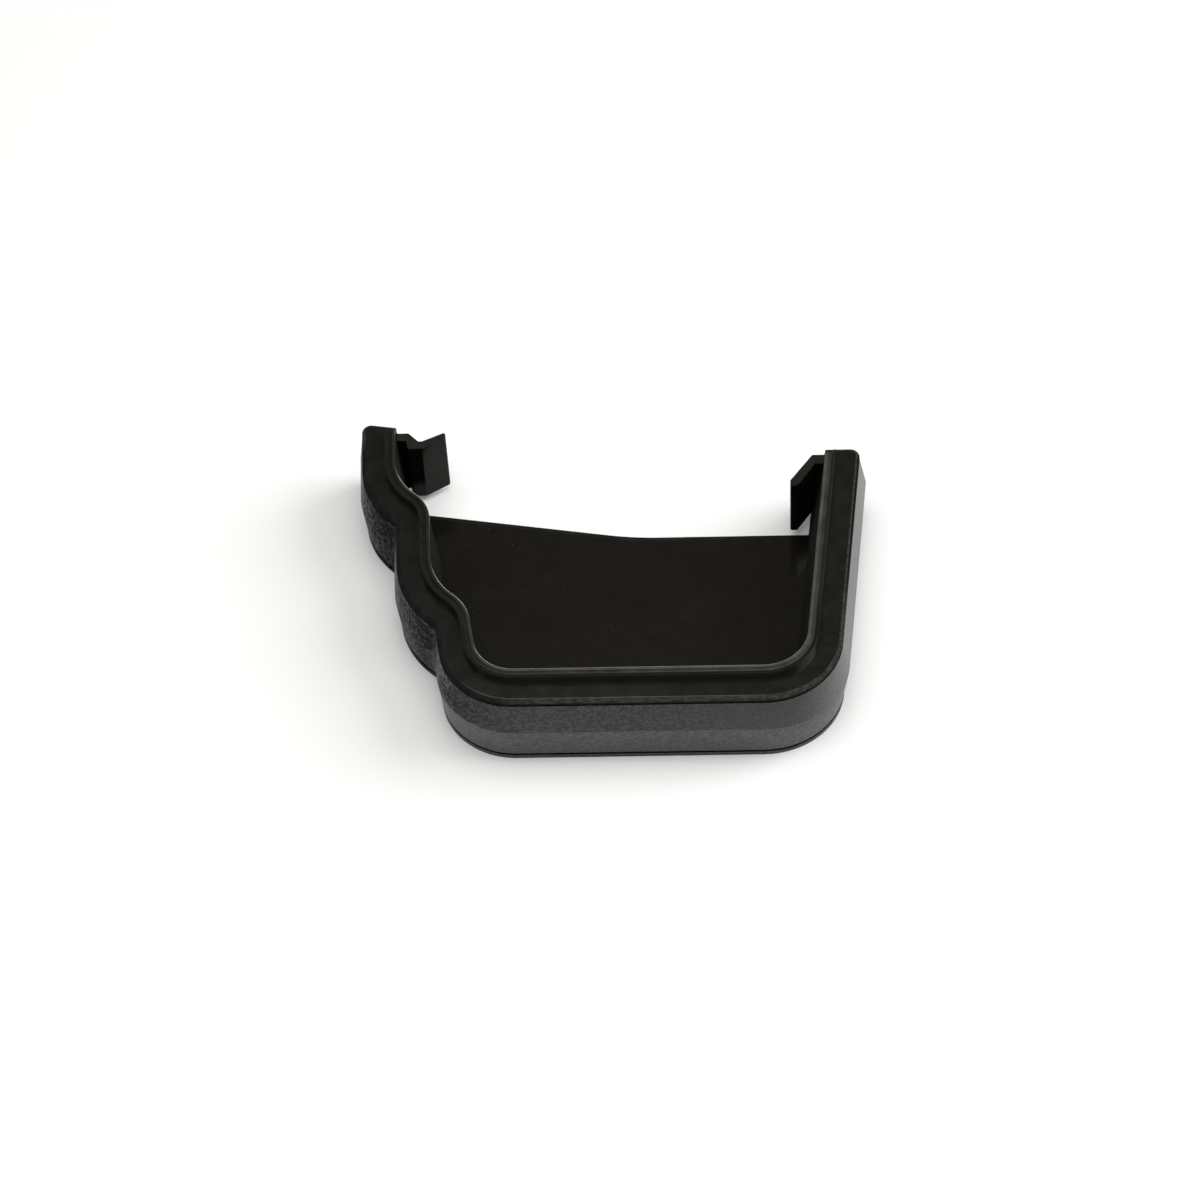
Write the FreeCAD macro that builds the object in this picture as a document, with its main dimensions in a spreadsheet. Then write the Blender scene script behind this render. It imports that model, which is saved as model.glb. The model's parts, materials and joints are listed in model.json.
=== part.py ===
"""External stop end for an ogee gutter, lying on its end plate with the open rim up.

The gutter's outside profile is one chain of lines and arcs: front wall, upper bulge and
cove, middle wall, lower bulge and cove, foot, front heel, sole, back heel and back wall.
Every outline of the cap is that chain moved outwards or inwards, at its own height.
X runs from the ogee front to the back wall, Y is up in use and Z is the gutter's length.
"""
import FreeCAD
import Part
import Sketcher

import math
import os

SIZES = {
    # the gutter's outside profile at the rim, from the middle of the sole
    "upper_bulge_x": -39.7,
    "upper_bulge_y": 68.9,
    "upper_bulge_radius": 15.2,
    "upper_cove_radius": 11.2,
    "lower_bulge_x": -27.05,
    "lower_bulge_y": 37.2,
    "lower_bulge_radius": 17.6,
    "lower_cove_radius": 12.7,
    "front_heel_x": -22.8,
    "front_heel_radius": 10.2,
    "back_heel_x": 38.8,
    "back_heel_radius": 11.2,
    # how far each wall leans outwards from the sole's upright, in degrees
    "front_lean": 3.0,
    "middle_lean": 3.2,
    "foot_lean": 9.3,
    "back_lean": 5.7,
    # where the two arms of the collar end, and how steeply the front end and the plate slope down
    "front_top": 82.0,
    "back_top": 71.8,
    "top_slope": 9.4,
    "arm_round": 2.4,
    # the collar: widths from the profile outwards, heights from the end plate's outer face
    "flange_width": 8.8,
    "flange_face": 22.5,
    "flange_thickness": 1.4,
    "flange_round": 1.2,
    "collar_cove_radius": 2.0,
    "seam_height": 0.5,
    "seam_depth": 0.6,
    "ridge_height": 11.45,
    "ridge_out": 1.25,
    "ridge_back_out": 0.5,
    "base_out": 0.45,
    "base_height": 1.2,
    "base_groove_height": 0.7,
    "base_groove_depth": 0.7,
    # the socket's draft at the end plate's outer face
    "socket_draft": 1.8,
    "back_draft": 1.8,
    "socket_overrun": 10.0,
    # the end plate: a sloping top edge at the front that bends into a level one at the back
    "plate_thickness": 2.5,
    "plate_front_rise": 1.65,
    "plate_bend_radius": 80.0,
    "plate_back_y": 59.75,
    "plate_round": 0.8,
    # the rubber seal and its seat in the rim's inner edge
    "seal_width": 2.7,
    "seal_height": 3.5,
    "seal_seat": 1.3,
    "seal_front_stop": 2.8,
    "seal_back_stop": 2.3,
    "seal_back_cut": 1.2,
    "seal_end_gap": 0.2,
    "rib_width": 0.9,
    "rib_gap_depth": 0.6,
    "rib_round": 0.25,
    # the two snap clips, from the wall that carries each one
    "clip_root": 2.0,
    "clip_round": 0.5,
    "front_clip_bottom": 2.3,
    "front_clip_drop": 1.5,
    "front_clip_reach": 3.3,
    "front_clip_wall": 2.5,
    "front_clip_valley_drop": 2.8,
    "front_clip_valley_start": 5.9,
    "front_clip_valley_end": 6.9,
    "front_clip_step": 0.5,
    "front_clip_wing_reach": 12.9,
    "front_clip_wing_rise": 3.0,
    "front_clip_wing_wall": 1.7,
    "back_clip_bottom": 3.3,
    "back_clip_drop": 1.2,
    "back_clip_reach": 3.5,
    "back_clip_wall": 2.9,
    "back_clip_leg_reach": 9.3,
    "back_clip_leg_drop": 8.5,
    "back_clip_leg_width": 1.8,
    "back_clip_leg_end": 1.7,
    "back_clip_bend": 0.7,
    # the middle of the part's width, from the profile's origin
    "middle_x": 0.42,
}

UP = FreeCAD.Vector(0, 0, 1)
START, END, CENTRE = 1, 2, 3
ORIGIN = (-1, 1)
TOUCH = 1e-4


def make_sheet(doc):
    sheet = doc.addObject("Spreadsheet::Sheet", "sizes")
    for row, (name, size) in enumerate(SIZES.items(), start=1):
        sheet.set("A%d" % row, name)
        sheet.set("B%d" % row, str(size))
        sheet.setAlias("B%d" % row, name)
    doc.recompute()
    return sheet


def cell(name):
    return "sizes." + name


def total(size, text):
    """A length as its value for the first drawing and its formula for the sheet."""
    return {"size": size, "text": text}


def size_of(name):
    return total(SIZES[name], cell(name))


def plus(first, second):
    return total(first["size"] + second["size"], "(%s + %s)" % (first["text"], second["text"]))


def minus(first, second):
    return total(first["size"] - second["size"], "(%s - %s)" % (first["text"], second["text"]))


NONE = total(0.0, "0")


def fix(sketch, kind, places, length):
    """Add a dimension to a sketch and bind it to the sheet."""
    index = sketch.addConstraint(Sketcher.Constraint(kind, *places, length["size"]))
    sketch.setExpression("Constraints[%d]" % index, length["text"])


def fix_angle(sketch, line, degrees, text):
    index = sketch.addConstraint(Sketcher.Constraint("Angle", line, math.radians(degrees)))
    sketch.setExpression("Constraints[%d]" % index, "(%s) * 1 deg" % text)


def fix_point(sketch, place, x, y):
    fix(sketch, "DistanceX", (*ORIGIN, *place), x)
    fix(sketch, "DistanceY", (*ORIGIN, *place), y)


def line(sketch, start, end):
    return sketch.addGeometry(Part.LineSegment(start, end))


def arc(sketch, centre, start, end):
    """An arc from start to end, anticlockwise."""
    first = math.atan2(start.y - centre.y, start.x - centre.x)
    last = math.atan2(end.y - centre.y, end.x - centre.x)
    if last <= first:
        last += 2 * math.pi
    circle = Part.Circle(centre, UP, (start - centre).Length)
    return sketch.addGeometry(Part.ArcOfCircle(circle, first, last))


def join(sketch, kind, *places):
    sketch.addConstraint(Sketcher.Constraint(kind, *places))


def outwards(lean):
    """The outward direction of a front wall that leans by so many degrees."""
    return FreeCAD.Vector(-math.cos(math.radians(lean)), -math.sin(math.radians(lean)), 0)


def upwards(lean):
    return FreeCAD.Vector(-math.sin(math.radians(lean)), math.cos(math.radians(lean)), 0)


def cove_centre(bulge, bulge_radius, wall_point, lean, cove_radius):
    """The centre of the cove that touches a bulge above and a leaning wall below."""
    start = wall_point + outwards(lean) * cove_radius - bulge
    along = start.dot(upwards(lean))
    reach = math.sqrt(along ** 2 - start.dot(start) + (bulge_radius + cove_radius) ** 2)
    return bulge + start - upwards(lean) * (along + reach)


def at_height(point, direction, height):
    return point + direction * ((height - point.y) / direction.y)


def wall_x(heel_x, radius, lean, foot_y, height, side):
    """Where a leaning wall stands at a height: side is -1 at the front and 1 at the back."""
    angle = math.radians(SIZES[lean])
    rise = height["size"] - SIZES[foot_y]
    size = SIZES[heel_x] + side * (SIZES[radius] / math.cos(angle) + rise * math.tan(angle))
    text = "(%s + %d * (%s / cos(%s * 1 deg) + (%s - %s) * tan(%s * 1 deg)))" % (
        cell(heel_x), side, cell(radius), cell(lean), height["text"], cell(foot_y), cell(lean)
    )
    return total(size, text)


def front_wall_x(height):
    return wall_x("upper_bulge_x", "upper_bulge_radius", "front_lean", "upper_bulge_y", height, -1)


def back_wall_x(height):
    return wall_x("back_heel_x", "back_heel_radius", "back_lean", "back_heel_radius", height, 1)


def front_inner_y():
    """The height of the front arm's sloping end where it passes over the upper bulge's centre."""
    wall = front_wall_x(size_of("front_top"))
    reach = minus(size_of("upper_bulge_x"), wall)
    size = SIZES["front_top"] - reach["size"] * math.tan(math.radians(SIZES["top_slope"]))
    text = "(%s - %s * tan(%s * 1 deg))" % (cell("front_top"), reach["text"], cell("top_slope"))
    return total(size, text)


def front_corner_y(out):
    """The height of the centre of the front arm's rounded corner, on an outline so far out."""
    slope = math.radians(SIZES["top_slope"])
    lean = math.radians(SIZES["front_lean"])
    inset = minus(out, size_of("arm_round"))
    climb = math.tan(slope) * inset["size"] / math.cos(lean) - SIZES["arm_round"] / math.cos(slope)
    size = SIZES["front_top"] + climb / (1 - math.tan(slope) * math.tan(lean))
    slope_text = "%s * 1 deg" % cell("top_slope")
    lean_text = "%s * 1 deg" % cell("front_lean")
    climb_text = "(tan(%s) * %s / cos(%s) - %s / cos(%s))" % (
        slope_text, inset["text"], lean_text, cell("arm_round"), slope_text
    )
    text = "(%s + %s / (1 - tan(%s) * tan(%s)))" % (cell("front_top"), climb_text, slope_text, lean_text)
    return total(size, text)


class Chain:
    """The gutter's profile, moved outwards by a length, drawn into a sketch."""

    def __init__(self, sketch, out, back_in=NONE, coves=None):
        self.sketch = sketch
        away = out["size"]
        size = SIZES
        cove_radius = coves or minus(size_of("upper_cove_radius"), out)
        low_cove_radius = coves or minus(size_of("lower_cove_radius"), out)
        bulge = FreeCAD.Vector(size["upper_bulge_x"], size["upper_bulge_y"], 0)
        belly = FreeCAD.Vector(size["lower_bulge_x"], size["lower_bulge_y"], 0)
        heel = FreeCAD.Vector(size["front_heel_x"], size["front_heel_radius"], 0)
        back_heel_x = size["back_heel_x"] - back_in["size"]
        back_heel = FreeCAD.Vector(back_heel_x, size["back_heel_radius"], 0)
        middle = belly + outwards(size["middle_lean"]) * size["lower_bulge_radius"]
        foot = heel + outwards(size["foot_lean"]) * size["front_heel_radius"]
        cove = cove_centre(
            bulge, size["upper_bulge_radius"], middle, size["middle_lean"], cove_radius["size"] + away
        )
        low_cove = cove_centre(
            belly, size["lower_bulge_radius"], foot, size["foot_lean"], low_cove_radius["size"] + away
        )
        back_out = FreeCAD.Vector(-outwards(size["back_lean"]).x, outwards(size["back_lean"]).y, 0)
        back_up = FreeCAD.Vector(-upwards(size["back_lean"]).x, upwards(size["back_lean"]).y, 0)
        down = FreeCAD.Vector(0, -1, 0)

        front_foot = bulge + outwards(size["front_lean"]) * (size["upper_bulge_radius"] + away)
        bulge_end = bulge + (cove - bulge).normalize() * (size["upper_bulge_radius"] + away)
        cove_end = cove - outwards(size["middle_lean"]) * cove_radius["size"]
        middle_foot = middle + outwards(size["middle_lean"]) * away
        belly_end = belly + (low_cove - belly).normalize() * (size["lower_bulge_radius"] + away)
        low_cove_end = low_cove - outwards(size["foot_lean"]) * low_cove_radius["size"]
        foot_end = foot + outwards(size["foot_lean"]) * away
        sole_start = heel + down * (size["front_heel_radius"] + away)
        sole_end = back_heel + down * (size["back_heel_radius"] + away)
        back_foot = back_heel + back_out * (size["back_heel_radius"] + away)

        self.front_foot = front_foot
        self.front_up = upwards(size["front_lean"])
        self.back_foot = back_foot
        self.back_up = back_up
        self.front = line(sketch, front_foot, at_height(front_foot, self.front_up, size["front_top"]))
        self.bulge = arc(sketch, bulge, front_foot, bulge_end)
        upper_cove = arc(sketch, cove, cove_end, bulge_end)
        middle_wall = line(sketch, middle_foot, cove_end)
        lower_bulge = arc(sketch, belly, middle_foot, belly_end)
        lower_cove = arc(sketch, low_cove, low_cove_end, belly_end)
        foot_wall = line(sketch, foot_end, low_cove_end)
        front_heel = arc(sketch, heel, foot_end, sole_start)
        sole = line(sketch, sole_start, sole_end)
        self.back_heel = arc(sketch, back_heel, sole_end, back_foot)
        self.back = line(sketch, back_foot, at_height(back_foot, back_up, size["back_top"]))

        join(sketch, "Tangent", self.front, START, self.bulge, START)
        join(sketch, "Tangent", self.bulge, END, upper_cove, END)
        join(sketch, "Tangent", upper_cove, START, middle_wall, END)
        join(sketch, "Tangent", middle_wall, START, lower_bulge, START)
        join(sketch, "Tangent", lower_bulge, END, lower_cove, END)
        join(sketch, "Tangent", lower_cove, START, foot_wall, END)
        join(sketch, "Tangent", foot_wall, START, front_heel, START)
        join(sketch, "Tangent", front_heel, END, sole, START)
        join(sketch, "Tangent", sole, END, self.back_heel, START)
        join(sketch, "Tangent", self.back_heel, END, self.back, START)
        join(sketch, "Horizontal", sole)

        fix_point(sketch, (self.bulge, CENTRE), size_of("upper_bulge_x"), size_of("upper_bulge_y"))
        fix_point(sketch, (lower_bulge, CENTRE), size_of("lower_bulge_x"), size_of("lower_bulge_y"))
        fix_point(sketch, (front_heel, CENTRE), size_of("front_heel_x"), size_of("front_heel_radius"))
        fix(
            sketch, "DistanceX", (*ORIGIN, self.back_heel, CENTRE), minus(size_of("back_heel_x"), back_in)
        )
        for curve, name in (
            (self.bulge, "upper_bulge_radius"),
            (lower_bulge, "lower_bulge_radius"),
            (front_heel, "front_heel_radius"),
            (self.back_heel, "back_heel_radius"),
        ):
            fix(sketch, "Radius", (curve,), plus(size_of(name), out))
        fix(sketch, "Radius", (upper_cove,), cove_radius)
        fix(sketch, "Radius", (lower_cove,), low_cove_radius)
        for wall, name in (
            (self.front, "front_lean"),
            (middle_wall, "middle_lean"),
            (foot_wall, "foot_lean"),
        ):
            fix_angle(sketch, wall, 90 + size[name], "90 + " + cell(name))
        fix_angle(sketch, self.back, 90 - size["back_lean"], "90 - " + cell("back_lean"))

    def end_at(self, front_height, back_height):
        """Set the heights where the front and back walls stop, and return those two points."""
        fix(self.sketch, "DistanceY", (*ORIGIN, self.front, END), front_height)
        fix(self.sketch, "DistanceY", (*ORIGIN, self.back, END), back_height)
        front_end = at_height(self.front_foot, self.front_up, front_height["size"])
        back_end = at_height(self.back_foot, self.back_up, back_height["size"])
        return front_end, back_end


def sketch_at(body, name, height):
    """A sketch parallel to the end plate, at a height that is bound to the sheet."""
    sketch = body.newObject("Sketcher::SketchObject", name)
    plane = next(item for item in body.Origin.OriginFeatures if item.Role == "XY_Plane")
    sketch.AttachmentSupport = (plane, [""])
    sketch.MapMode = "FlatFace"
    sketch.setExpression("AttachmentOffset.Base.z", height["text"])
    return sketch


def collar_outline(body, name, height, out, back_in=NONE):
    """The collar's outer outline with rounded arm ends, closed across between the arms."""
    sketch = sketch_at(body, name, height)
    chain = Chain(sketch, out, back_in, size_of("collar_cove_radius"))
    radius = SIZES["arm_round"]
    slope = math.radians(SIZES["top_slope"])
    front_side = outwards(SIZES["front_lean"]) * radius
    back_side = FreeCAD.Vector(-outwards(SIZES["back_lean"]).x, outwards(SIZES["back_lean"]).y, 0) * radius
    front_centre = at_height(chain.front_foot - front_side, chain.front_up, front_corner_y(out)["size"])
    back_centre = at_height(chain.back_foot - back_side, chain.back_up, SIZES["back_top"] - radius)
    front_lift = FreeCAD.Vector(math.sin(slope), math.cos(slope), 0) * radius
    back_lift = UP.cross(FreeCAD.Vector(radius, 0, 0))
    front_inner = FreeCAD.Vector(SIZES["upper_bulge_x"], front_inner_y()["size"], 0)
    back_inner = FreeCAD.Vector(SIZES["back_heel_x"] - back_in["size"], SIZES["back_top"], 0)

    front_corner = arc(sketch, front_centre, front_centre + front_lift, front_centre + front_side)
    back_corner = arc(sketch, back_centre, back_centre + back_side, back_centre + back_lift)
    front_end = line(sketch, front_inner, front_centre + front_lift)
    across = line(sketch, front_inner, back_inner)
    back_end = line(sketch, back_inner, back_centre + back_lift)

    join(sketch, "Tangent", chain.front, END, front_corner, END)
    join(sketch, "Tangent", front_corner, START, front_end, END)
    join(sketch, "Coincident", front_end, START, across, START)
    join(sketch, "Coincident", across, END, back_end, START)
    join(sketch, "Tangent", back_end, END, back_corner, END)
    join(sketch, "Tangent", back_corner, START, chain.back, END)
    join(sketch, "Horizontal", back_end)
    join(sketch, "Vertical", chain.bulge, CENTRE, front_end, START)
    join(sketch, "Vertical", chain.back_heel, CENTRE, back_end, START)
    fix(sketch, "Radius", (front_corner,), size_of("arm_round"))
    fix(sketch, "Radius", (back_corner,), size_of("arm_round"))
    fix_angle(sketch, front_end, 180 - SIZES["top_slope"], "180 - " + cell("top_slope"))
    fix(sketch, "DistanceY", (*ORIGIN, front_end, START), front_inner_y())
    fix(sketch, "DistanceY", (*ORIGIN, back_end, START), size_of("back_top"))
    return sketch


def socket_outline(body, name, height, out, back_in):
    """The inside of the socket, running out past both arms."""
    sketch = sketch_at(body, name, height)
    chain = Chain(sketch, out, back_in)
    over = plus(size_of("front_top"), size_of("socket_overrun"))
    front_end, back_end = chain.end_at(over, over)
    across = line(sketch, front_end, back_end)
    join(sketch, "Coincident", chain.front, END, across, START)
    join(sketch, "Coincident", chain.back, END, across, END)
    return sketch


def plate_outline(body, name):
    """The end plate, reaching half way into the collar, with its sloping top edge."""
    sketch = sketch_at(body, name, NONE)
    half = total(SIZES["flange_width"] / 2, "(%s / 2)" % cell("flange_width"))
    chain = Chain(sketch, half)
    front_height = plus(size_of("upper_bulge_y"), size_of("plate_front_rise"))
    front_end, back_end = chain.end_at(front_height, size_of("plate_back_y"))
    angle = math.radians(SIZES["top_slope"])
    radius = SIZES["plate_bend_radius"]
    corner_x = front_end.x + (front_end.y - back_end.y) / math.tan(angle)
    level_start = FreeCAD.Vector(corner_x + radius * math.tan(angle / 2), back_end.y, 0)
    centre = level_start + FreeCAD.Vector(0, radius, 0)
    slope_end = centre - FreeCAD.Vector(math.sin(angle), math.cos(angle), 0) * radius
    slope = line(sketch, slope_end, front_end)
    bend = arc(sketch, centre, slope_end, level_start)
    level = line(sketch, level_start, back_end)
    join(sketch, "Coincident", chain.front, END, slope, END)
    join(sketch, "Tangent", slope, START, bend, START)
    join(sketch, "Tangent", bend, END, level, START)
    join(sketch, "Coincident", level, END, chain.back, END)
    join(sketch, "Horizontal", level)
    fix_angle(sketch, slope, 180 - SIZES["top_slope"], "180 - " + cell("top_slope"))
    fix(sketch, "Radius", (bend,), size_of("plate_bend_radius"))
    return sketch


def band_outline(body, name, height, inner, outer, ends_inner, ends_outer):
    """A strip along the profile between two distances from it, with its own ends."""
    sketch = sketch_at(body, name, height)
    first = Chain(sketch, inner)
    second = Chain(sketch, outer)
    first_ends = first.end_at(*ends_inner)
    second_ends = second.end_at(*ends_outer)
    front_end = line(sketch, first_ends[0], second_ends[0])
    back_end = line(sketch, first_ends[1], second_ends[1])
    join(sketch, "Coincident", first.front, END, front_end, START)
    join(sketch, "Coincident", second.front, END, front_end, END)
    join(sketch, "Coincident", first.back, END, back_end, START)
    join(sketch, "Coincident", second.back, END, back_end, END)
    return sketch


def seat_floor():
    return minus(size_of("flange_face"), size_of("seal_seat"))


def seal_front_end():
    return minus(size_of("front_top"), size_of("seal_front_stop"))


def seal_back_end():
    return minus(size_of("back_top"), size_of("seal_back_stop"))


def pad(body, name, sketch, length):
    feature = body.newObject("PartDesign::Pad", name)
    feature.Profile = sketch
    feature.setExpression("Length", length["text"])
    return feature


def pocket(body, name, sketch, depth):
    """A cut from the sketch downwards."""
    feature = body.newObject("PartDesign::Pocket", name)
    feature.Profile = sketch
    feature.setExpression("Length", depth["text"])
    return feature


def polygon(body, name, height, corners):
    """A closed outline through corners whose X and Y are lengths bound to the sheet."""
    sketch = sketch_at(body, name, height)
    points = [FreeCAD.Vector(x["size"], y["size"], 0) for x, y in corners]
    sides = [line(sketch, start, end) for start, end in zip(points, points[1:] + points[:1])]
    for side, following in zip(sides, sides[1:] + sides[:1]):
        join(sketch, "Coincident", side, END, following, START)
    for side, (x, y) in zip(sides, corners):
        fix_point(sketch, (side, START), x, y)
    return sketch


def front_clip(body, bottom):
    """The clip over the gutter's front edge: a bridge, a valley and a wing to press on."""
    top = minus(size_of("front_top"), size_of("front_clip_drop"))
    wall = front_wall_x(top)
    under = minus(top, size_of("front_clip_wall"))
    valley = minus(top, size_of("front_clip_valley_drop"))
    valley_under = minus(valley, size_of("front_clip_wall"))
    root = minus(wall, size_of("clip_root"))
    bridge_end = plus(wall, size_of("front_clip_reach"))
    step = minus(bridge_end, size_of("front_clip_step"))
    valley_start = plus(wall, size_of("front_clip_valley_start"))
    valley_end = plus(wall, size_of("front_clip_valley_end"))
    wing_tip = plus(wall, size_of("front_clip_wing_reach"))
    tip_top = plus(valley, size_of("front_clip_wing_rise"))
    corners = [
        (root, top),
        (root, under),
        (step, under),
        (bridge_end, valley_under),
        (valley_end, valley_under),
        (wing_tip, minus(tip_top, size_of("front_clip_wing_wall"))),
        (wing_tip, tip_top),
        (valley_end, valley),
        (valley_start, valley),
        (bridge_end, top),
    ]
    return polygon(body, "front_clip_profile", bottom, corners)


def back_clip(body, bottom):
    """The clip over the gutter's back edge: a bridge and a slanting leg."""
    top = minus(size_of("back_top"), size_of("back_clip_drop"))
    wall = back_wall_x(top)
    under = minus(top, size_of("back_clip_wall"))
    root = plus(wall, size_of("clip_root"))
    bridge_end = minus(wall, size_of("back_clip_reach"))
    leg_tip = minus(wall, size_of("back_clip_leg_reach"))
    leg_shoulder = minus(top, size_of("back_clip_leg_drop"))
    leg_end = minus(leg_shoulder, size_of("back_clip_leg_end"))
    under_end = plus(bridge_end, size_of("back_clip_bend"))
    corners = [
        (root, top),
        (bridge_end, top),
        (leg_tip, leg_shoulder),
        (leg_tip, leg_end),
        (plus(leg_tip, size_of("back_clip_leg_width")), leg_end),
        (under_end, under),
        (root, under),
    ]
    return polygon(body, "back_clip_profile", bottom, corners)


def place(body):
    """Put the origin under the middle of the part, on the end plate's outer face."""
    ridge = plus(size_of("flange_width"), size_of("ridge_out"))
    top = plus(front_corner_y(ridge), size_of("arm_round"))
    body.setExpression("Placement.Base.x", "-" + cell("middle_x"))
    body.setExpression("Placement.Base.y", "-%s / 2" % minus(top, ridge)["text"])


def fillet(body, name, base, wanted, radius):
    """Round the edges of a feature that a test picks out."""
    edges = ["Edge%d" % i for i, edge in enumerate(base.Shape.Edges, start=1) if wanted(edge)]
    feature = body.newObject("PartDesign::Fillet", name)
    feature.Base = (base, edges)
    feature.setExpression("Radius", cell(radius))
    body.Document.recompute()
    return feature


def on_outline(sketch, lift):
    """A test for edges that lie on a sketch's outline, lifted by a height."""
    outline = sketch.Shape.copy()
    outline.translate(UP * lift)

    def wanted(edge):
        middle = edge.valueAt((edge.FirstParameter + edge.LastParameter) / 2)
        return Part.Vertex(middle).distToShape(outline)[0] < TOUCH

    return wanted


def upright(*lengths):
    """A test for straight edges along Z with one of the given lengths."""

    def wanted(edge):
        box = edge.BoundBox
        slim = box.XLength < TOUCH and box.YLength < TOUCH
        return slim and any(abs(box.ZLength - length) < TOUCH for length in lengths)

    return wanted


def make_body(doc):
    """The moulded cap: end plate, thick collar, flange, seal seat and both clips."""
    body = doc.addObject("PartDesign::Body", "cap_body")
    body.Label = "cap_body"
    flange = size_of("flange_width")
    flange_under = minus(size_of("flange_face"), size_of("flange_thickness"))
    seam_under = minus(flange_under, size_of("seam_height"))
    base = plus(flange, size_of("base_out"))
    base_top = size_of("base_height")
    groove_height = size_of("base_groove_height")
    ridge = plus(flange, size_of("ridge_out"))
    ridge_back = minus(NONE, size_of("ridge_back_out"))

    pad(body, "base", collar_outline(body, "base_outline", NONE, base), base_top)
    groove = collar_outline(body, "groove_outline", base_top, minus(base, size_of("base_groove_depth")))
    pad(body, "base_groove", groove, groove_height)
    sides = body.newObject("PartDesign::AdditiveLoft", "collar_sides")
    sides.Profile = collar_outline(body, "lower_outline", plus(base_top, groove_height), base)
    sides.Sections = [
        collar_outline(body, "ridge_outline", size_of("ridge_height"), ridge, ridge_back),
        collar_outline(body, "upper_outline", seam_under, flange),
    ]
    sides.Ruled = True
    seam = collar_outline(body, "seam_outline", seam_under, minus(flange, size_of("seam_depth")))
    pad(body, "seam", seam, size_of("seam_height"))
    rim = collar_outline(body, "flange_outline", flange_under, flange)
    pad(body, "flange", rim, size_of("flange_thickness"))
    doc.recompute()

    socket = body.newObject("PartDesign::SubtractiveLoft", "socket")
    draft = minus(NONE, size_of("socket_draft"))
    socket.Profile = socket_outline(body, "socket_bottom", NONE, draft, size_of("back_draft"))
    socket.Sections = [socket_outline(body, "socket_mouth", size_of("flange_face"), NONE, NONE)]
    socket.Ruled = True
    plate = plate_outline(body, "plate_profile")
    pad(body, "end_plate", plate, size_of("plate_thickness"))

    gap = size_of("seal_end_gap")
    seat_ends = (plus(seal_front_end(), gap), plus(seal_back_end(), gap))
    seat = band_outline(
        body, "seat_outline", size_of("flange_face"), draft, size_of("seal_width"), seat_ends, seat_ends
    )
    pocket(body, "seal_seat", seat, size_of("seal_seat"))

    front_length = minus(seat_floor(), size_of("front_clip_bottom"))
    back_length = minus(seat_floor(), size_of("back_clip_bottom"))
    pad(body, "front_clip", front_clip(body, size_of("front_clip_bottom")), front_length)
    clips = pad(body, "back_clip", back_clip(body, size_of("back_clip_bottom")), back_length)
    doc.recompute()

    bends = fillet(body, "clip_bends", clips, upright(front_length["size"], back_length["size"]), "clip_round")
    on_plate_edge = on_outline(plate, SIZES["plate_thickness"])
    plate_edge = fillet(body, "plate_edge", bends, on_plate_edge, "plate_round")
    on_rim = on_outline(rim, SIZES["flange_thickness"])
    body.Tip = fillet(body, "flange_edge", plate_edge, on_rim, "flange_round")
    place(body)
    return body


def make_seal(doc):
    """The ribbed rubber strip that lies in the seat along the rim's inner edge."""
    body = doc.addObject("PartDesign::Body", "rim_seal")
    body.Label = "rim_seal"
    width = size_of("seal_width")
    cut_end = minus(seal_back_end(), size_of("seal_back_cut"))
    strip = band_outline(
        body, "strip_outline", seat_floor(), NONE, width,
        (seal_front_end(), cut_end), (seal_front_end(), seal_back_end()),
    )
    pad(body, "strip", strip, size_of("seal_height"))
    top = plus(seat_floor(), size_of("seal_height"))
    rib = size_of("rib_width")
    past_ends = (plus(seal_front_end(), width), plus(seal_back_end(), width))
    gap = band_outline(body, "rib_gap_outline", top, rib, minus(width, rib), past_ends, past_ends)
    ribs = pocket(body, "rib_gap", gap, size_of("rib_gap_depth"))
    doc.recompute()

    def along_top(edge):
        box = edge.BoundBox
        return box.ZMin > top["size"] - TOUCH and edge.Length > SIZES["seal_width"]

    body.Tip = fillet(body, "rib_edges", ribs, along_top, "rib_round")
    place(body)
    return body


def check(doc, bodies):
    for item in doc.Objects:
        if "Invalid" in item.State or "Error" in item.State:
            raise RuntimeError("%s did not build: %s" % (item.Name, item.State))
    for body in bodies:
        if body.Shape.isNull() or not body.Shape.isValid():
            raise RuntimeError("%s has no valid shape" % body.Label)


def main():
    doc = FreeCAD.newDocument("gutter_stop_end")
    make_sheet(doc)
    bodies = [make_body(doc), make_seal(doc)]
    doc.recompute()
    check(doc, bodies)
    os.makedirs("parts", exist_ok=True)
    for body in bodies:
        body.Shape.exportStep("parts/%s.step" % body.Label)


main()
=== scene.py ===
"""Looks for a gutter end cap: a black moulded cap with a cast-iron grain and a ribbed rubber seal."""
import json
import math

import bpy
from bpy.props import FloatProperty, FloatVectorProperty, PointerProperty
from bpy.types import Operator, Panel, PropertyGroup
from mathutils import Matrix, Vector

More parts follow.
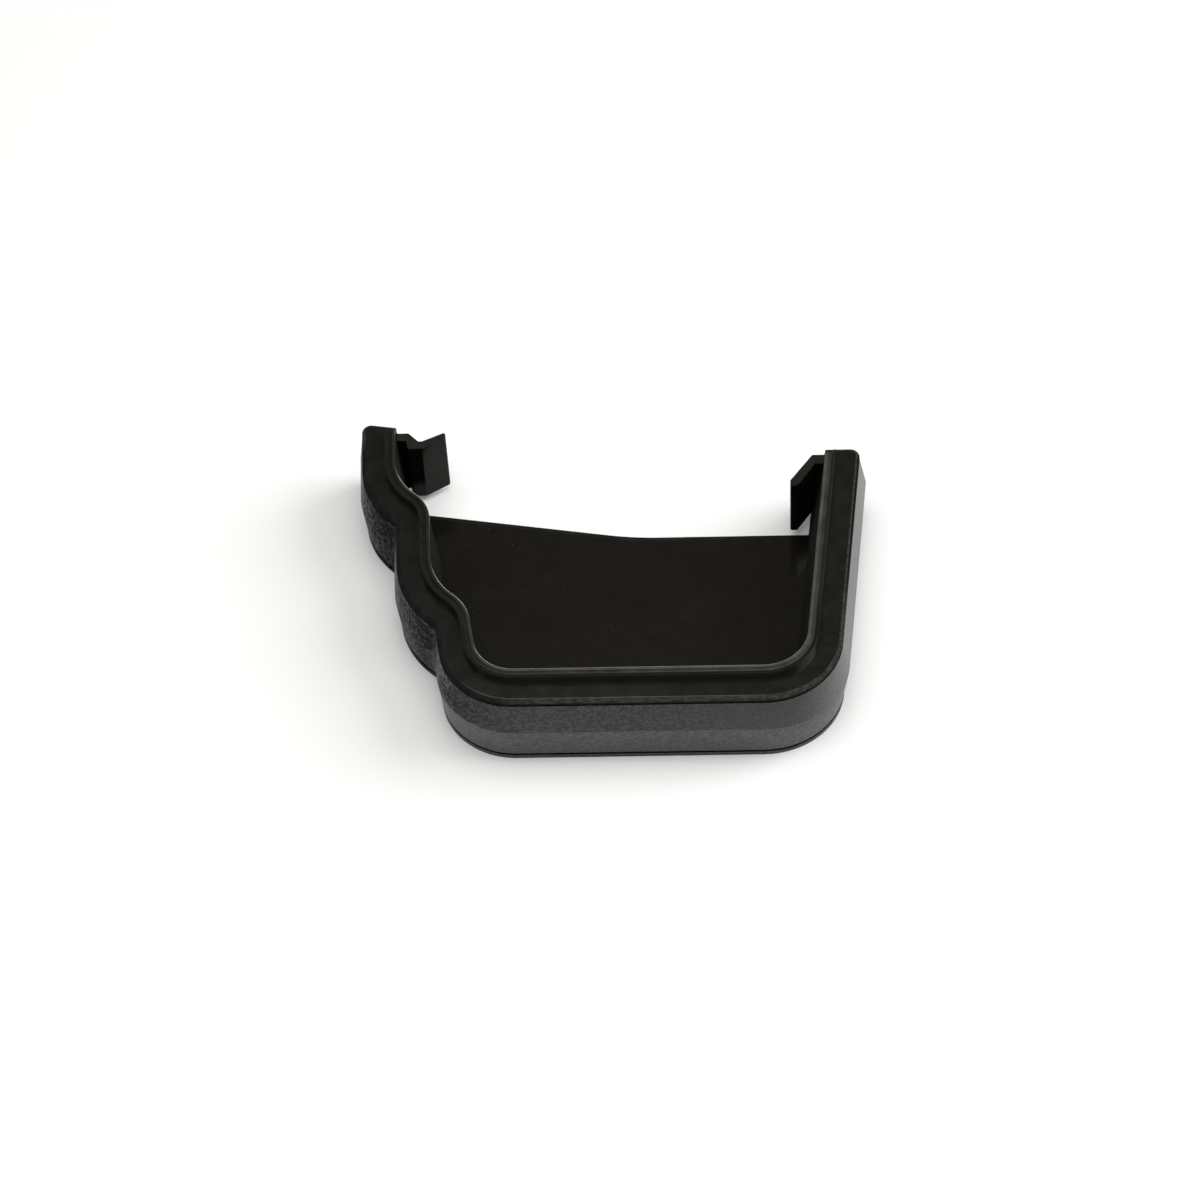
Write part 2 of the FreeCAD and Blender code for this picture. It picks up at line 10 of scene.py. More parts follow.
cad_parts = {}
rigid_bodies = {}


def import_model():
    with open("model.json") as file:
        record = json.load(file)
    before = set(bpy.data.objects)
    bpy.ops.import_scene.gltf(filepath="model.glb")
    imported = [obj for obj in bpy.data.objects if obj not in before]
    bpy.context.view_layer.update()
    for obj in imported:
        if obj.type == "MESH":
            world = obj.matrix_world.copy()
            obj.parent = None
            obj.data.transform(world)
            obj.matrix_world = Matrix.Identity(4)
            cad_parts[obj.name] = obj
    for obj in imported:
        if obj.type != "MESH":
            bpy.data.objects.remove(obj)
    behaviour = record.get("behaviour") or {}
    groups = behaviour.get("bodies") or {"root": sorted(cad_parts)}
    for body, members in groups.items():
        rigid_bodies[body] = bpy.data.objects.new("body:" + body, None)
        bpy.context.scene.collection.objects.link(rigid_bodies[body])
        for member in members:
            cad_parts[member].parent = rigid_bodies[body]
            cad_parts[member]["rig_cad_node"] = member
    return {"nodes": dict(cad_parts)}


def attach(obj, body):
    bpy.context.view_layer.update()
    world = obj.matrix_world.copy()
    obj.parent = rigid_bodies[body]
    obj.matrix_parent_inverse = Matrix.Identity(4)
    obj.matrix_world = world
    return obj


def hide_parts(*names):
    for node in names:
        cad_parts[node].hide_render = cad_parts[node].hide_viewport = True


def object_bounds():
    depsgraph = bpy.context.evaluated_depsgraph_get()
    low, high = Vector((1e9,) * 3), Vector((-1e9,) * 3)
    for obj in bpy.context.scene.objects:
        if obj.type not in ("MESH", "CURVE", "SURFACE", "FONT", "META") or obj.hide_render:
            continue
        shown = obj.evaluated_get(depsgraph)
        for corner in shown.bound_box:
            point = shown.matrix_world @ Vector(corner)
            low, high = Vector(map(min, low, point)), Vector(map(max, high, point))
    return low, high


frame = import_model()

cad_low, cad_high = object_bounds()

bl_info = {
    "name": "Gutter end cap",
    "version": (1, 0, 0),
    "blender": (4, 5, 0),
    "location": "3D View > Sidebar > End cap",
    "description": "Finishes a moulded gutter end cap and its rim seal and sets a plain stage",
    "category": "Object",
}

BODY = "root"
CAP_NODE = "cap_body"
SEAL_NODE = "rim_seal"
GRAIN = "grain"
OUTER_RIB = "outer_rib"
GROOVE = "groove"
MM = 0.001

# meshes: points this near are one, edges bent less than this are smooth, rays start so far off a face
MERGE_DISTANCE = 0.001 * MM
SMOOTH_ANGLE = math.radians(30)
RAY_START = 0.01 * MM

# heights on the cap, up from the end plate's outer face; the clips lie under the last
BASE_TOP = 1.2 * MM
PLATE_TOP = 2.5 * MM
FLANGE_UNDER = cad_high.z - 3.6 * MM
CLIPS_UNDER = cad_high.z - 3.2 * MM

# the end plate's free end: a straight slope at the front, given where it crosses x = 0, level at the back
PLATE_SLOPE = 0.1655
PLATE_SLOPE_END = 24.06 * MM
PLATE_LEVEL_END = 23.16 * MM

# below the flange, a clip or an arm's inner side lies above this y and within this x of the middle
CLIPS_FROM_Y = 35 * MM
CLIPS_WITHIN_X = 57 * MM

# a line up the middle of the socket from this y, and the least that an outer wall stands off it
MIDDLE_FROM_Y = -20 * MM
OUTER_WALL_OFF = 20 * MM

# heights on the seal, and a length that reaches across its groove
RIB_TOPS_FROM = cad_high.z - 0.4 * MM
GROOVE_FROM = cad_high.z - 0.7 * MM
GROOVE_UP_TO = cad_high.z - 0.1 * MM
GROOVE_REACH = 1.5 * MM

# the floor and the lamps, in metres
FLOOR_SIZE = 6.0
KEY_PLACE = (0.90, 0.20, 0.80)
KEY_SIZE = 0.8
TOP_PLACE = (-0.10, -0.10, 1.30)
TOP_SIZE = 1.4

# the camera's sensor, and the sky's colours by how far up the view points, from 0 at the horizon to 1
SENSOR_WIDTH_MM = 36.0
SKY_PALE = (0.9, 0.9, 0.9, 1)
SKY_PALE_BELOW = 0.15
SKY_DIM = (0.118, 0.110, 0.092, 1)
SKY_DIM_ABOVE = 0.55


def colour_property(name, description, default):
    return FloatVectorProperty(
        name=name, description=description, subtype="COLOR", size=3, min=0.0, max=1.0, default=default
    )


def length_property(name, description, millimetres):
    return FloatProperty(name=name, description=description, unit="LENGTH", default=millimetres * MM)


def angle_property(name, description, degrees):
    return FloatProperty(
        name=name, description=description, subtype="ANGLE", default=math.radians(degrees)
    )


def power_property(name, description, watts):
    return FloatProperty(name=name, description=description, unit="POWER", default=watts)


class CapLooks(PropertyGroup):
    """Colours and grain of the moulded cap."""

    plastic: colour_property("Plastic", "Black of the smooth moulding", (0.0068, 0.0060, 0.0043))
    flange: colour_property("Flange", "Black of the flange", (0.0088, 0.0092, 0.0072))
    flange_front: colour_property("Flange front", "Black of the front arm", (0.0078, 0.0096, 0.0084))
    grain_low: colour_property("Grain low", "Black in the grain's hollows", (0.0038, 0.0046, 0.0050))
    grain_high: colour_property("Grain high", "Grey on the grain's tops", (0.0150, 0.0155, 0.0155))
    # the pale grey below also paints the highlight along the back arm's flange edge
    scuff_and_highlight: colour_property("Scuff", "Pale grey of rubbed edges and dust specks", (0.050, 0.051, 0.045))
    grain_size: length_property("Grain size", "Width of one dab of the grain", 0.75)
    grain_depth: length_property("Grain depth", "Height of the grain", 0.12)
    # Painted sheen: the walls have no shine, and this black, lighter than the plate's, stands in for their
    # reflection.
    inner: colour_property("Inner walls", "Black of the socket's walls", (0.0200, 0.0195, 0.0170))
    # The clips' tops and the flange's lowest band take a paler black.
    clip: colour_property("Clip tops", "Black of the clips' rubbed tops", (0.0160, 0.0158, 0.0140))
    # Painted sheen: the flange's rounding has no shine, and this lighter black stands in for it.
    edge: colour_property("Flange edge", "Black of the flange's rounding", (0.0150, 0.0154, 0.0136))
    # Painted reflection: a lighter black along the plate's free end.
    plate_end_reflection: colour_property("Plate end", "Black along the plate's free end", (0.0148, 0.0138, 0.0115))
    hollow: colour_property("Mottle", "Black of the flat faces' dark patches", (0.0035, 0.0035, 0.0030))
    ridge: length_property("Ridge", "Height of the ridge round the outer walls", 11.45)


class SealLooks(PropertyGroup):
    """Colours of the rubber seal."""

    rubber: colour_property("Rubber", "Black of the rubber", (0.0065, 0.0062, 0.0052))
    # Painted highlight: the pale line along the inner rib's inner edge.
    edge: colour_property("Inner edge", "Pale rubbed edge of the inner rib", (0.85, 0.85, 0.82))
    # Painted light: a lighter copy of the rubber on the sole and the back; the front arm and the sole's
    # outer rib keep the darker rubber.
    rubber_sole_lit: colour_property("Sole rubber", "Black on the sole and the back", (0.0115, 0.0108, 0.0092))
    # Partly dust, partly painted light that lifts the shade on the groove's sides.
    groove_dust_and_light: colour_property("Groove dust", "Pale dust between the ribs", (0.30, 0.29, 0.27))
    dust: colour_property("Dust", "Pale dust on the ribs", (0.078, 0.078, 0.069))


class StageSetup(PropertyGroup):
    """Camera, lamps and floor."""

    elevation: angle_property("Elevation", "Camera above the horizon", 51.287)
    heading: angle_property("Heading", "Camera turned from +Y towards +X", -3.399)
    roll: angle_property("Roll", "Camera rolled about its view", 3.621)
    distance: length_property("Distance", "From the camera to its target", 964.2)
    target: FloatVectorProperty(
        name="Target", description="Point that the camera looks at", subtype="TRANSLATION",
        unit="LENGTH", size=3, default=(-2.605 * MM, -5.333 * MM, 12 * MM),
    )
    lens: FloatProperty(name="Lens", description="Focal length in millimetres", default=114.0)
    floor: colour_property("Floor", "White of the table", (0.96, 0.96, 0.96))
    key_power: power_property("Key lamp", "Power of the lamp on the right", 8.5)
    top_power: power_property("Top lamp", "Power of the lamp overhead", 14.0)


class NodeDraft:
    """A material's node tree with short calls for adding and linking nodes."""

    def __init__(self, name):
        self.material = bpy.data.materials.new(name)
        self.material.use_nodes = True
        self.tree = self.material.node_tree
        self.shader = self.tree.nodes["Principled BSDF"]
        self.spot = self.add("ShaderNodeTexCoord").outputs

    def add(self, kind, **settings):
        node = self.tree.nodes.new(kind)
        for key, value in settings.items():
            setattr(node, key, value)
        return node

    def put(self, socket, value):
        """Set a socket to a value, or link it to another node's output."""
        if isinstance(value, bpy.types.NodeSocket):
            self.tree.links.new(value, socket)
        elif hasattr(value, "__len__") and len(value) == 3 and len(socket.default_value) == 4:
            socket.default_value = (*value, 1.0)
        else:
            socket.default_value = value

    def dress(self, name, value):
        """Give the shader one of its values."""
        self.put(self.shader.inputs[name], value)

    def math(self, operation, *values):
        node = self.add("ShaderNodeMath", operation=operation)
        for socket, value in zip(node.inputs, values):
            self.put(socket, value)
        return node.outputs[0]

    def inverse(self, value):
        """1 where the value is 0, and 0 where it is 1."""
        return self.math("SUBTRACT", 1.0, value)

    def step(self, value, start, end):
        """0 before start, 1 past end, and smooth between them; end may be the lower of the two."""
        node = self.add("ShaderNodeMapRange", interpolation_type="SMOOTHSTEP")
        self.put(node.inputs["Value"], value)
        node.inputs["From Min"].default_value = start
        node.inputs["From Max"].default_value = end
        return node.outputs["Result"]

    def between(self, value, low, high):
        """A value from 0 to 1, stretched to run from low to high."""
        node = self.add("ShaderNodeMapRange")
        self.put(node.inputs["Value"], value)
        node.inputs["To Min"].default_value = low
        node.inputs["To Max"].default_value = high
        return node.outputs["Result"]

    def product(self, first, *others):
        result = first
        for other in others:
            result = self.math("MULTIPLY", result, other)
        return result

    def blend(self, factor, first, second):
        """The first number where the factor is 0, the second where it is 1."""
        node = self.add("ShaderNodeMix", data_type="FLOAT")
        self.put(node.inputs[0], factor)
        self.put(node.inputs[2], first)
        self.put(node.inputs[3], second)
        return node.outputs[0]

    def mix(self, factor, first, second):
        """The first colour where the factor is 0, the second where it is 1."""
        node = self.add("ShaderNodeMix", data_type="RGBA")
        self.put(node.inputs[0], factor)
        self.put(node.inputs[6], first)
        self.put(node.inputs[7], second)
        return node.outputs[2]

    def noise(self, size, detail, stretch=(1, 1, 1), roughness=0.5):
        """Noise with features about as wide as a size in metres, drawn out along stretched axes."""
        place = self.add("ShaderNodeMapping", vector_type="TEXTURE")
        self.tree.links.new(self.spot["Object"], place.inputs["Vector"])
        place.inputs["Scale"].default_value = [size * axis for axis in stretch]
        node = self.add("ShaderNodeTexNoise")
        self.tree.links.new(place.outputs["Vector"], node.inputs["Vector"])
        node.inputs["Scale"].default_value = 1.0
        node.inputs["Detail"].default_value = detail
        node.inputs["Roughness"].default_value = roughness
        return node.outputs["Fac"]

    def part_of(self, name, axis):
        """One axis of the Object or Normal coordinates."""
        split = self.add("ShaderNodeSeparateXYZ")
        self.tree.links.new(self.spot[name], split.inputs[0])
        return split.outputs[axis]

    def attribute(self, name):
        """A number that the piece's mesh holds for each of its faces."""
        return self.add("ShaderNodeAttribute", attribute_name=name).outputs["Fac"]

    def bump(self, height, distance):
        node = self.add("ShaderNodeBump")
        self.put(node.inputs["Height"], height)
        self.put(node.inputs["Distance"], distance)
        self.tree.links.new(node.outputs["Normal"], self.shader.inputs["Normal"])


class CapMasks:
    """Where a point of the cap lies, and numbers from 0 to 1 for its kind of face and its patches."""

    def __init__(self, draft, looks):
        self.across = draft.part_of("Object", "X")
        self.along = draft.part_of("Object", "Y")
        self.height = draft.part_of("Object", "Z")
        self.on_rim = draft.step(self.height, FLANGE_UNDER - 0.1 * MM, FLANGE_UNDER + 0.1 * MM)
        self.below_rim = draft.inverse(self.on_rim)

        self.face_up = draft.part_of("Normal", "Z")
        steep = draft.math("ABSOLUTE", self.face_up)
        upright = draft.step(steep, 0.80, 0.45)
        self.bent = draft.step(steep, 0.9995, 0.97)
        self.rounded = draft.product(
            draft.step(self.face_up, 0.1, 0.4), draft.step(self.face_up, 0.999, 0.95)
        )
        towards_sole = draft.step(draft.part_of("Normal", "Y"), -0.3, -0.6)
        self.facing_sole = draft.product(upright, self.below_rim, towards_sole)
        self.wall = draft.product(upright, self.below_rim, draft.inverse(self.facing_sole))

        self.grain = draft.attribute(GRAIN)
        self.relief = draft.noise(looks.grain_size, 4.0, (1.2, 1.2, 1), 0.55)
        self.tops = draft.step(self.relief, 0.40, 0.62)
        self.cloud = draft.noise(14 * MM, 3.0)
        self.dark_patch = draft.step(draft.noise(3.5 * MM, 4.0), 0.36, 0.64)


def flange_wear_and_highlight(draft, masks):
    """Where the flange's edge is pale: rubbed on the sole and at the front arm's end, a painted highlight
    on the back arm.
    """
    by_sole = draft.product(
        draft.step(masks.across, -34 * MM, -14 * MM), draft.step(masks.along, -5 * MM, -20 * MM)
    )
    by_front_end = draft.product(
        draft.step(masks.across, -42 * MM, -50 * MM), draft.step(masks.along, 36 * MM, 41 * MM)
    )
    rubbed = draft.product(masks.rounded, draft.math("ADD", by_sole, by_front_end))
    # painted highlight: a pale line along the upper part of the back arm's rounding
    upper_edge = draft.product(
        draft.step(masks.face_up, 0.72, 0.86), draft.step(masks.face_up, 0.995, 0.97)
    )
    back_highlight = draft.product(upper_edge, draft.step(masks.across, 50 * MM, 54 * MM))
    streaks = draft.noise(0.6 * MM, 4.0, (2.5, 1, 1), 0.6)
    patchy = draft.between(draft.step(streaks, 0.38, 0.66), 0.30, 1.0)
    return draft.product(masks.on_rim, patchy, draft.math("MAXIMUM", rubbed, back_highlight))


def plate_end_reflection_strip(draft, masks):
    """The paler strip along the end plate's free end, a painted reflection of the pale horizon, which fades
    out towards the back.
    """
    past_level = draft.math("SUBTRACT", masks.along, PLATE_LEVEL_END)
    sloped = draft.math("MULTIPLY_ADD", masks.across, PLATE_SLOPE, masks.along)
    past_slope = draft.math("SUBTRACT", sloped, PLATE_SLOPE_END)
    by_end = draft.step(draft.math("MINIMUM", past_level, past_slope), -1.7 * MM, -1.1 * MM)
    on_plate = draft.product(
        draft.step(masks.height, PLATE_TOP + 0.2 * MM, PLATE_TOP + 0.1 * MM),
        draft.step(masks.face_up, 0.3, 0.5),
    )
    return draft.product(by_end, on_plate, draft.step(masks.across, 42 * MM, 24 * MM))


def smooth_black(draft, masks, looks):
    """Colour of the faces without grain, with mottle, a few specks of dust, and painted sheen and
    reflection on the inner walls, the flange's rounding and the plate's free end.
    """
    at_front = draft.step(masks.across, -20 * MM, -45 * MM)
    flange = draft.mix(at_front, looks.flange, looks.flange_front)
    colour = draft.mix(masks.on_rim, looks.plastic, flange)
    # a paler black on the clips' tops and the flange's lowest band
    low_on_rim = draft.step(masks.height, CLIPS_UNDER + 0.3 * MM, CLIPS_UNDER)
    colour = draft.mix(draft.product(masks.on_rim, low_on_rim), colour, looks.clip)
    # painted sheen on the flange's rounding, short of the back arm
    before_back = draft.step(masks.across, 52 * MM, 44 * MM)
    colour = draft.mix(draft.product(masks.on_rim, masks.rounded, before_back), colour, looks.edge)
    # painted reflection along the plate's free end
    colour = draft.mix(plate_end_reflection_strip(draft, masks), colour, looks.plate_end_reflection)
    colour = draft.mix(draft.product(masks.dark_patch, 0.45), colour, looks.hollow)
    dusty = draft.step(masks.cloud, 0.48, 0.60)
    specks = draft.product(draft.step(draft.noise(0.8 * MM, 2.0), 0.68, 0.74), dusty)
    colour = draft.mix(draft.product(specks, 0.5), colour, looks.scuff_and_highlight)
    # painted sheen on the upright walls of the socket and the clips
    return draft.mix(masks.wall, colour, looks.inner)


def smooth_shine(draft, masks):
    """Shine of the faces without grain: on level ones, and a little on upright ones turned to the sole."""
    plate_front = draft.product(masks.below_rim, draft.step(masks.across, -5 * MM, -40 * MM))
    flat = draft.blend(plate_front, 0.5, 0.41)
    plate_patches = draft.between(masks.dark_patch, 1.04, 0.96)
    flange_patches = draft.between(masks.dark_patch, 1.12, 0.88)
    flat = draft.product(flat, draft.blend(masks.on_rim, plate_patches, flange_patches))
    return draft.blend(masks.facing_sole, draft.blend(masks.bent, flat, 0.0), 0.10)


def grain_shine(draft, masks, looks):
    """Shine of the outer walls: glints on the ogee front, a fuller sheen on the sole and the back wall."""
    clouded = draft.math("ADD", masks.relief, draft.math("MULTIPLY", masks.cloud, 0.2))
    glints = draft.step(clouded, 0.58, 0.76)
    low_down = draft.step(masks.along, 12 * MM, 0.0)
    front = draft.product(draft.between(glints, 0.015, 0.20), draft.between(low_down, 0.55, 1.2))
    back = draft.between(draft.step(masks.relief, 0.30, 0.44), 0.50, 0.95)

    upper_sole = draft.between(masks.tops, 0.34, 0.52)
    upper_sole = draft.blend(draft.step(masks.across, 0.0, 40 * MM), upper_sole, 0.45)
    upper = draft.blend(draft.step(masks.across, 46 * MM, 60 * MM), upper_sole, back)
    upper = draft.blend(draft.step(masks.across, -42 * MM, -22 * MM), front, upper)

    above_base = draft.step(masks.height, BASE_TOP - 0.5 * MM, BASE_TOP)
    lower = draft.product(draft.between(masks.tops, 0.66, 0.92), draft.between(above_base, 0.7, 1.0))
    lower = draft.blend(draft.step(masks.across, -48 * MM, -34 * MM), front, lower)
    below_ridge = draft.step(masks.height, looks.ridge + 0.15 * MM, looks.ridge - 0.15 * MM)
    return draft.blend(below_ridge, upper, lower)


def moulded_plastic(looks):
    """Black plastic: smooth inside and on the flange, rubbed on its edge, with painted sheen and highlight
    on the flange's edge and cast-iron grain outside.
    """
    draft = NodeDraft("moulded_plastic")
    masks = CapMasks(draft, looks)
    # pale mask for the rubbed edges and for the painted highlight on the back arm
    wear_and_highlight = flange_wear_and_highlight(draft, masks)

    grained = draft.mix(masks.tops, looks.grain_low, looks.grain_high)
    colour = draft.mix(masks.grain, smooth_black(draft, masks, looks), grained)
    draft.dress("Base Color", draft.mix(wear_and_highlight, colour, looks.scuff_and_highlight))

    soft = draft.between(masks.cloud, 0.10, 0.18)
    rough = draft.blend(masks.grain, draft.blend(masks.wall, soft, 0.65), 0.34)
    draft.dress("Roughness", draft.blend(wear_and_highlight, rough, 0.6))

    shine = draft.blend(masks.grain, smooth_shine(draft, masks), grain_shine(draft, masks, looks))
    draft.dress("Specular IOR Level", shine)

    peel = draft.noise(0.9 * MM, 3.0)
    surface = draft.math("ADD", draft.product(masks.relief, masks.grain), draft.product(peel, 0.06))
    draft.bump(surface, looks.grain_depth)
    return draft.material


def dusty_rubber(looks):
    """Black rubber, painted lighter on the sole and the back, with a painted highlight on the inner edge
    and dust thickest on the inner rib.
    """
    draft = NodeDraft("dusty_rubber")
    normal_up = draft.part_of("Normal", "Z")
    face_up = draft.step(normal_up, 0.45, 0.95)
    on_top = draft.step(draft.part_of("Object", "Z"), cad_high.z - 1.0 * MM, cad_high.z - 0.5 * MM)
    past_front = draft.step(draft.part_of("Object", "X"), -42 * MM, -18 * MM)
    below_arms = draft.step(draft.part_of("Object", "Y"), -12 * MM, -28 * MM)
    outer_rib = draft.attribute(OUTER_RIB)
    groove = draft.attribute(GROOVE)
    sheltered = draft.math("MAXIMUM", outer_rib, groove)
    # outer rib on the sole: less dust, and it keeps the darker rubber
    clean_unlit_rib = draft.product(outer_rib, past_front, below_arms)

    speckle = draft.noise(0.4 * MM, 2.0)
    cloudy = draft.math("ADD", draft.noise(5 * MM, 3.0), speckle)
    patches = draft.between(draft.step(cloudy, 0.65, 1.25), 0.35, 1.0)
    front_dust = draft.between(outer_rib, 0.14, 0.10)
    sole_dust = draft.between(outer_rib, 0.75, 0.08)
    amount = draft.product(
        draft.blend(past_front, front_dust, sole_dust), draft.between(clean_unlit_rib, 1.0, 0.25)
    )
    dust = draft.product(draft.math("MAXIMUM", face_up, groove), on_top, patches, amount)

    towards_gutter = draft.step(draft.part_of("Normal", "Y"), 0.1, 0.45)
    turned_in = draft.product(towards_gutter, draft.step(normal_up, 0.99, 0.93))
    inner_side = draft.product(turned_in, draft.inverse(sheltered))
    # the band along the top's edge that carries the painted highlight
    rubbed = draft.product(on_top, draft.step(normal_up, 0.06, 0.25), draft.between(patches, 0.4, 1.0))
    inner_edge_highlight = draft.product(inner_side, rubbed, draft.between(past_front, 1.0, 0.4))

    # painted light: the lighter rubber on the sole and the back, not on the sole's outer rib
    lit_rubber_part = draft.math("SUBTRACT", past_front, clean_unlit_rib)
    rubber = draft.mix(lit_rubber_part, looks.rubber, looks.rubber_sole_lit)
    # the groove's sides: dust and painted light against their shade
    groove_side = draft.product(groove, draft.inverse(face_up))
    dusted = draft.mix(dust, rubber, draft.mix(groove_side, looks.dust, looks.groove_dust_and_light))
    # painted highlight along the inner edge
    draft.dress("Base Color", draft.mix(inner_edge_highlight, dusted, looks.edge))
    draft.dress("Roughness", draft.between(dust, 0.24, 0.6))
    draft.dress("Specular IOR Level", draft.blend(inner_side, draft.between(sheltered, 0.25, 0.08), 1.0))
    draft.bump(speckle, 0.01 * MM)
    return draft.material


def alone(item):
    """Make an object the only selected one, and active."""
    bpy.ops.object.select_all(action="DESELECT")
    item.select_set(True)
    bpy.context.view_layer.objects.active = item


def copy_of_node(node, name):
    """A copy of a node's mesh with its triangles joined up and its faces smooth up to their edges."""
    alone(frame["nodes"][node])
    bpy.ops.object.duplicate()
    piece = bpy.context.active_object
    piece.name = name
    piece.data.name = name
    del piece["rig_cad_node"]
    bpy.ops.object.mode_set(mode="EDIT")
    bpy.ops.mesh.select_all(action="SELECT")
    bpy.ops.mesh.remove_doubles(threshold=MERGE_DISTANCE)
    bpy.ops.mesh.customdata_custom_splitnormals_clear()
    bpy.ops.mesh.mark_sharp(clear=True)
    bpy.ops.object.mode_set(mode="OBJECT")
    bpy.ops.object.shade_smooth_by_angle(angle=SMOOTH_ANGLE)
    bpy.ops.object.modifier_add(type="WEIGHTED_NORMAL")
    piece.modifiers[-1].keep_sharp = True
    bpy.ops.object.modifier_apply(modifier=piece.modifiers[-1].name)
    return piece


def mark_faces(piece, name, numbers):
    """Add a face attribute that is 1 on the faces with these numbers and 0 on the others."""
    marks = piece.data.attributes.new(name, "FLOAT", "FACE")
    for number in numbers:
        marks.data[number].value = 1.0


def finish_piece(piece, material, node):
    piece.data.materials.clear()
    piece.data.materials.append(material)
    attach(piece, BODY)
    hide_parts(node)


def looks_outwards(piece, face):
    """True for a face of the outer walls, which look away from the socket, or of the plate's outer face."""
    if face.center.z > FLANGE_UNDER:
        return False
    if face.normal.z < -0.9 and face.center.z < 0.1 * MM:
        return True
    flat = Vector((face.normal.x, face.normal.y, 0))
    if flat.length < 0.7:
        return False
    flat.normalize()
    on_clip = face.center.y > CLIPS_FROM_Y and abs(face.center.x) < CLIPS_WITHIN_X
    if on_clip:
        return False
    middle = Vector((0, max(face.center.y, MIDDLE_FROM_Y), face.center.z))
    if flat.dot(face.center - middle) < OUTER_WALL_OFF:
        return False
    hit = piece.ray_cast(face.center + flat * RAY_START, flat)[0]
    return not hit


class ENDCAP_OT_mould_cap(Operator):
    """Copy the moulded cap and give it its plastic, with the grain on its outer walls"""

    bl_idname = "endcap.mould_cap"
    bl_label = "Mould cap"

    def execute(self, context):
        piece = copy_of_node(CAP_NODE, "cap_moulding")
        outer = [face.index for face in piece.data.polygons if looks_outwards(piece, face)]
        mark_faces(piece, GRAIN, outer)
        finish_piece(piece, moulded_plastic(context.scene.endcap_cap), CAP_NODE)
        return {"FINISHED"}


def outer_rib_faces(piece):
    """The numbers of the faces on top of the outer rib, the one that reaches furthest down the sole."""
    high = {}
    for face in piece.data.polygons:
        if face.center.z > RIB_TOPS_FROM and face.normal.z > 0.25:
            high[face.index] = face
    users = {}
    for face in high.values():
        for edge in face.edge_keys:
            users.setdefault(edge, []).append(face.index)
    ribs = []
    waiting = set(high)
    while waiting:
        found = [waiting.pop()]
        for number in found:
            for edge in high[number].edge_keys:
                for other in users[edge]:
                    if other in waiting:
                        waiting.remove(other)
                        found.append(other)
        ribs.append(found)
    return min(ribs, key=lambda rib: min(high[number].center.y for number in rib))


def lies_in_groove(piece, face):
    """True for a face of the groove between the ribs: its floor, or a side with the other rib before it."""
    if not GROOVE_FROM < face.center.z < GROOVE_UP_TO:
        return False
    if face.normal.z > 0.9:
        return True
    return piece.ray_cast(face.center + face.normal * RAY_START, face.normal, distance=GROOVE_REACH)[0]


class ENDCAP_OT_lay_seal(Operator):
    """Copy the rubber seal and give it its dusty rubber"""

    bl_idname = "endcap.lay_seal"
    bl_label = "Lay seal"

    def execute(self, context):
        piece = copy_of_node(SEAL_NODE, "rim_strip")
        groove = [face.index for face in piece.data.polygons if lies_in_groove(piece, face)]
        mark_faces(piece, OUTER_RIB, outer_rib_faces(piece))
        mark_faces(piece, GROOVE, groove)
        finish_piece(piece, dusty_rubber(context.scene.endcap_seal), SEAL_NODE)
        return {"FINISHED"}


def aim(setup):
    """The camera's matrix: turned to its heading, tipped down by its elevation, rolled, and set back."""
    level = math.cos(setup.elevation)
    ahead = Vector((
        math.sin(setup.heading) * level, math.cos(setup.heading) * level, -math.sin(setup.elevation)
    ))
    right = Vector((math.cos(setup.heading), -math.sin(setup.heading), 0))
    down = ahead.cross(right)
    rolled_right = right * math.cos(setup.roll) + down * math.sin(setup.roll)
    rolled_down = down * math.cos(setup.roll) - right * math.sin(setup.roll)
    turn = Matrix((rolled_right, -rolled_down, -ahead)).transposed()
    place = Vector(setup.target) - ahead * setup.distance
    return Matrix.Translation(place) @ turn.to_4x4()


def add_lamp(name, place, size, power):
    """A square soft lamp that faces the middle of the object."""
    bpy.ops.object.light_add(type="AREA", location=place)
    lamp = bpy.context.active_object
    lamp.name = name
    lamp.data.size = size
    lamp.data.energy = power
    lamp.rotation_euler = Vector(place).to_track_quat("Z", "Y").to_euler()


def table_white(colour):
    draft = NodeDraft("table_white")
    draft.dress("Base Color", colour)
    draft.dress("Roughness", 0.7)
    draft.dress("Specular IOR Level", 0.1)
    return draft.material


def set_sky():
    """Pale near the horizon, dim overhead."""
    world = bpy.data.worlds.new("studio")
    world.use_nodes = True
    bpy.context.scene.world = world
    tree = world.node_tree
    spot = tree.nodes.new("ShaderNodeTexCoord")
    split = tree.nodes.new("ShaderNodeSeparateXYZ")
    ramp = tree.nodes.new("ShaderNodeValToRGB")
    tree.links.new(spot.outputs["Generated"], split.inputs[0])
    tree.links.new(split.outputs["Z"], ramp.inputs["Fac"])
    tree.links.new(ramp.outputs["Color"], tree.nodes["Background"].inputs["Color"])
    pale, dim = ramp.color_ramp.elements
    pale.position = SKY_PALE_BELOW
    pale.color = SKY_PALE
    dim.position = SKY_DIM_ABOVE
    dim.color = SKY_DIM


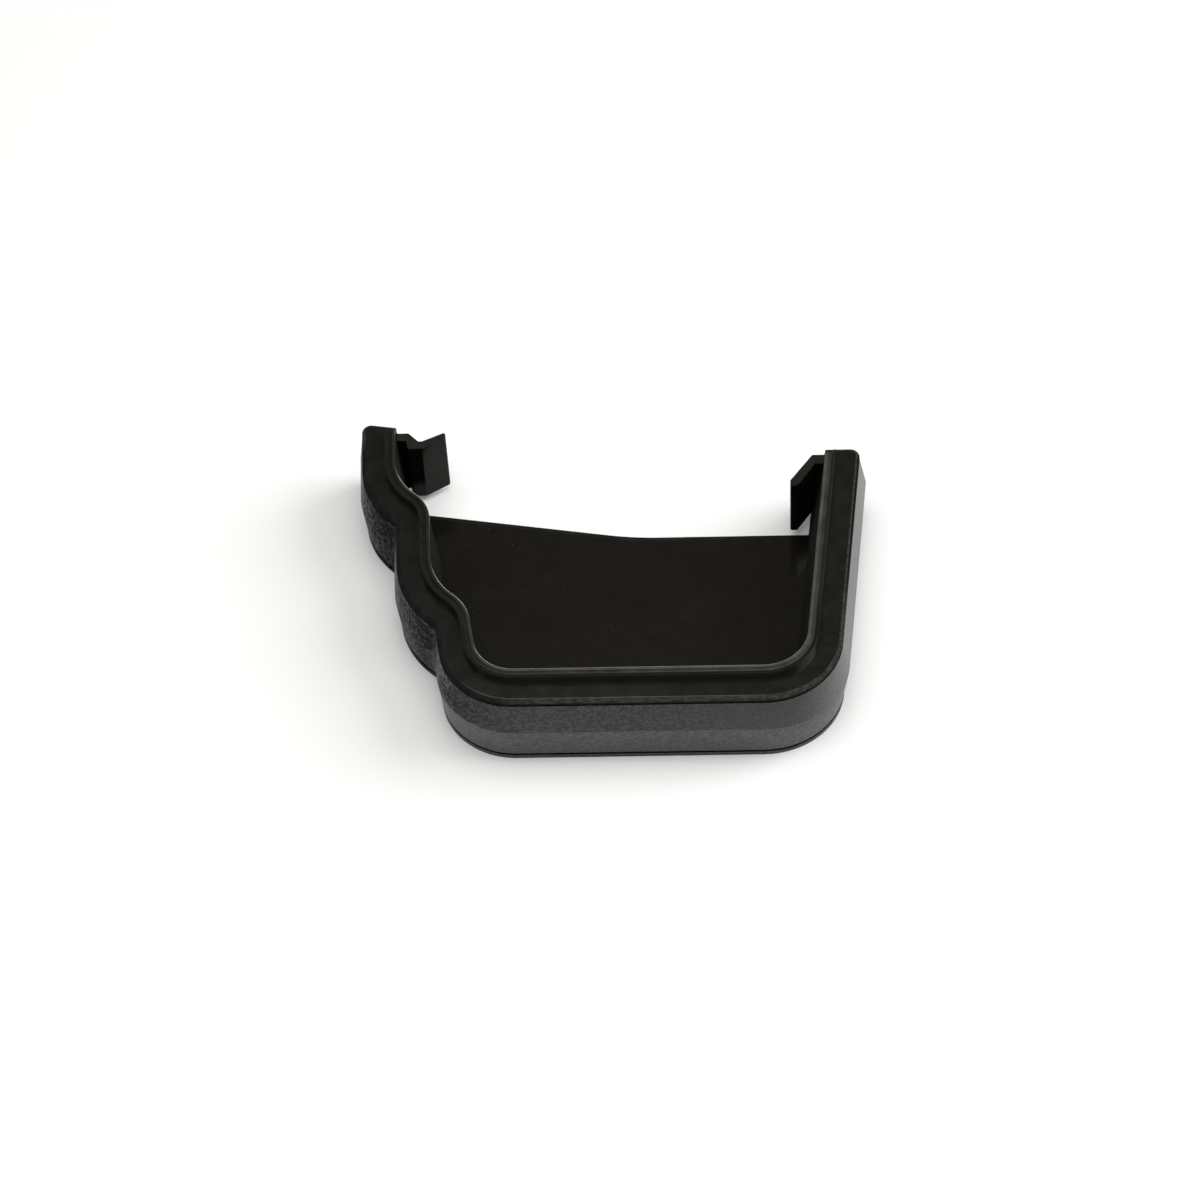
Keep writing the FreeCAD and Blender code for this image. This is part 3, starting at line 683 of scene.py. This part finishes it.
class ENDCAP_OT_set_stage(Operator):
    """Add the floor, the lamps, the sky and the camera"""

    bl_idname = "endcap.set_stage"
    bl_label = "Set stage"

    def execute(self, context):
        setup = context.scene.endcap_stage
        bpy.ops.object.select_all(action="DESELECT")
        bpy.ops.mesh.primitive_plane_add(size=FLOOR_SIZE, location=(0, 0, cad_low.z))
        table = context.active_object
        table.name = "table"
        table.data.materials.append(table_white(setup.floor))
        add_lamp("key_lamp", KEY_PLACE, KEY_SIZE, setup.key_power)
        add_lamp("top_lamp", TOP_PLACE, TOP_SIZE, setup.top_power)
        set_sky()
        bpy.ops.object.camera_add()
        camera = context.active_object
        camera.name = "photo_camera"
        camera.matrix_world = aim(setup)
        camera.data.sensor_width = SENSOR_WIDTH_MM
        camera.data.lens = setup.lens
        context.scene.camera = camera
        context.scene.view_settings.view_transform = "Standard"
        return {"FINISHED"}


class ENDCAP_PT_sidebar(Panel):
    """Lists the steps that finish the end cap and the values that they read"""

    bl_idname = "ENDCAP_PT_sidebar"
    bl_label = "End cap"
    bl_space_type = "VIEW_3D"
    bl_region_type = "UI"
    bl_category = "End cap"

    def draw(self, context):
        for step in STEPS:
            self.layout.operator(step.bl_idname)
        for group in (context.scene.endcap_cap, context.scene.endcap_seal, context.scene.endcap_stage):
            box = self.layout.box()
            for name in group.__annotations__:
                box.prop(group, name)


GROUPS = {"endcap_cap": CapLooks, "endcap_seal": SealLooks, "endcap_stage": StageSetup}
STEPS = (ENDCAP_OT_mould_cap, ENDCAP_OT_lay_seal, ENDCAP_OT_set_stage)
CLASSES = (*GROUPS.values(), *STEPS, ENDCAP_PT_sidebar)


def register():
    for item in CLASSES:
        bpy.utils.register_class(item)
    for name, group in GROUPS.items():
        setattr(bpy.types.Scene, name, PointerProperty(type=group))


def unregister():
    for name in GROUPS:
        delattr(bpy.types.Scene, name)
    for item in reversed(CLASSES):
        bpy.utils.unregister_class(item)


def main():
    register()
    bpy.ops.endcap.mould_cap()
    bpy.ops.endcap.lay_seal()
    bpy.ops.endcap.set_stage()


if __name__ == "__main__":
    main()
